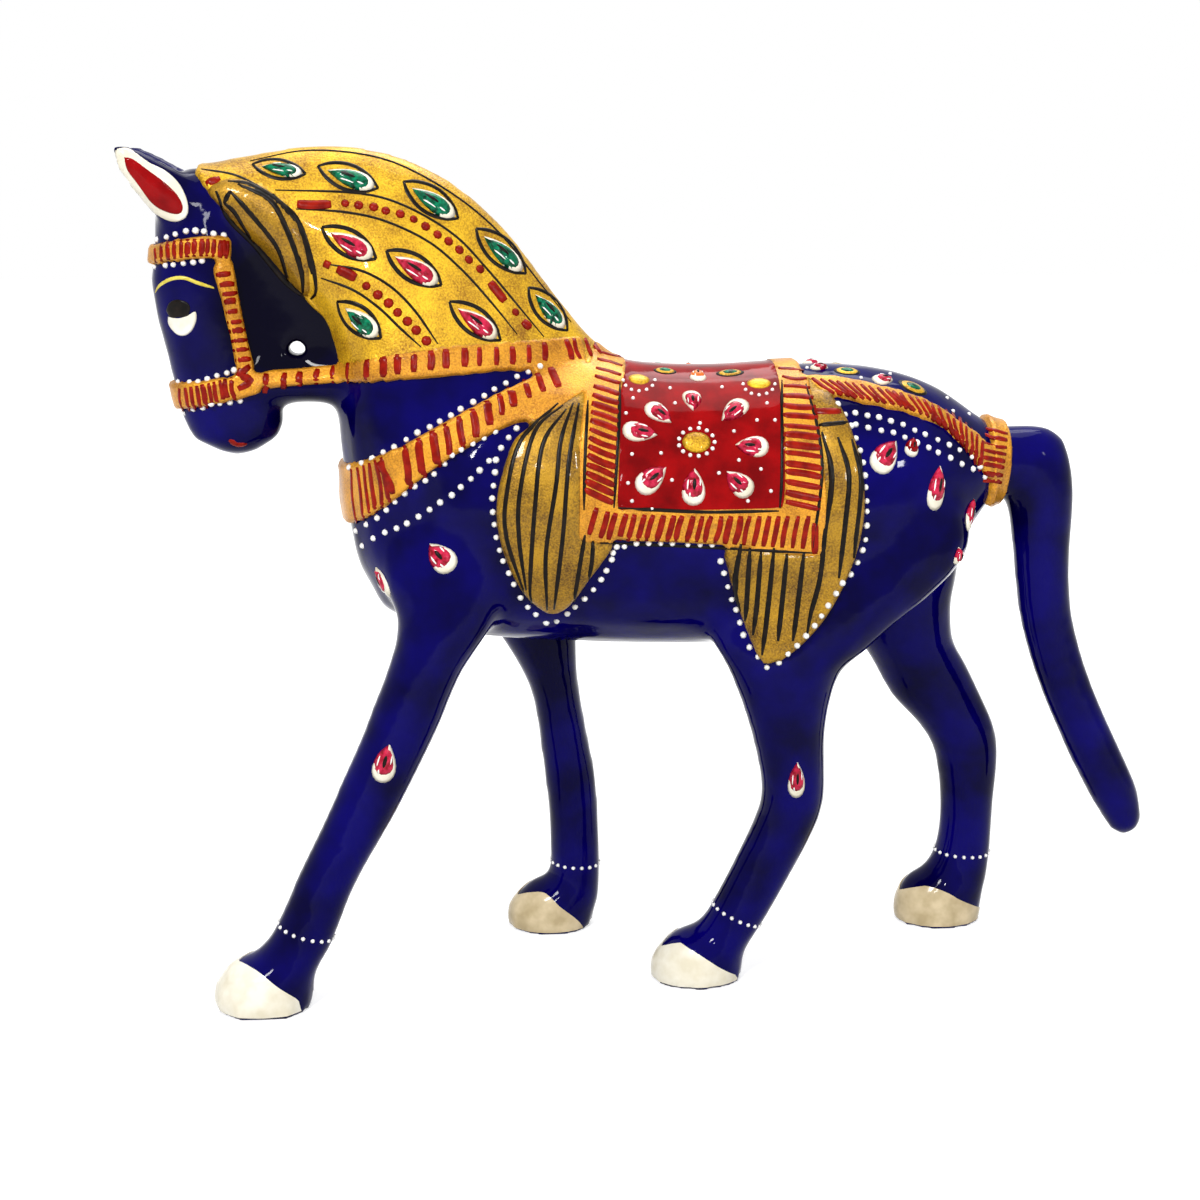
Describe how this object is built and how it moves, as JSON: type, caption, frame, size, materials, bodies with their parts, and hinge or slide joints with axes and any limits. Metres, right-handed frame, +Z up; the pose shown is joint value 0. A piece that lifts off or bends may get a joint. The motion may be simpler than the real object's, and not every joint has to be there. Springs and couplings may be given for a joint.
{
  "type": "horse figurine",
  "caption": "Walking enamelled horse ornament with raised gold mane, bridle, collar, saddle cloth and crupper, standing on flat hooves.",
  "frame": {"origin": "on the floor plane, under the middle of the figurine's outline seen from above", "axes": "+Z up, -X towards the head, +X towards the tail, -Y towards the near (left) side, which the picture shows"},
  "size_m": [0.219, 0.059, 0.1763],
  "materials": {
    "cobalt_enamel": "gloss",
    "gold_leaf": "satin",
    "red_enamel": "gloss",
    "hoof_cream": "gloss",
    "painted_stone": "gloss",
    "eye_white": "gloss"
  },
  "bodies": {
    "root": {"body_shell_near": "cobalt_enamel", "body_shell_far": "cobalt_enamel", "tail": "cobalt_enamel", "foreleg_near": "cobalt_enamel", "foreleg_far": "cobalt_enamel", "hindleg_near": "cobalt_enamel", "hindleg_far": "cobalt_enamel", "forehoof_near": "hoof_cream", "forehoof_far": "hoof_cream", "hindhoof_near": "hoof_cream", "hindhoof_far": "hoof_cream", "ear_near": "cobalt_enamel", "ear_far": "cobalt_enamel", "mane": "gold_leaf", "browband": "gold_leaf", "noseband": "gold_leaf", "breast_collar": "gold_leaf", "saddle_cloth": "red_enamel", "cloth_border_front": "gold_leaf", "cloth_border_rear": "gold_leaf", "dock_collar": "gold_leaf", "cheek_strap_near": "gold_leaf", "cheek_strap_far": "gold_leaf", "rein_near": "gold_leaf", "rein_far": "gold_leaf", "poll_tassel_near": "gold_leaf", "poll_tassel_far": "gold_leaf", "cloth_hem_near": "gold_leaf", "cloth_hem_far": "gold_leaf", "shoulder_tassel_near": "gold_leaf", "shoulder_tassel_far": "gold_leaf", "flank_tassel_near": "gold_leaf", "flank_tassel_far": "gold_leaf", "crupper_near": "gold_leaf", "crupper_far": "gold_leaf", "eye_near": "eye_white", "eye_far": "eye_white", "shoulder_stone_near": "painted_stone", "shoulder_stone_far": "painted_stone", "forearm_stone_near": "painted_stone", "forearm_stone_far": "painted_stone", "gaskin_stone_near": "painted_stone", "gaskin_stone_far": "painted_stone", "rump_stone_front_near": "painted_stone", "rump_stone_front_far": "painted_stone", "rump_stone_rear_near": "painted_stone", "rump_stone_rear_far": "painted_stone", "cloth_flower_near": "gold_leaf", "cloth_flower_far": "gold_leaf"}
  },
  "joints": []
}
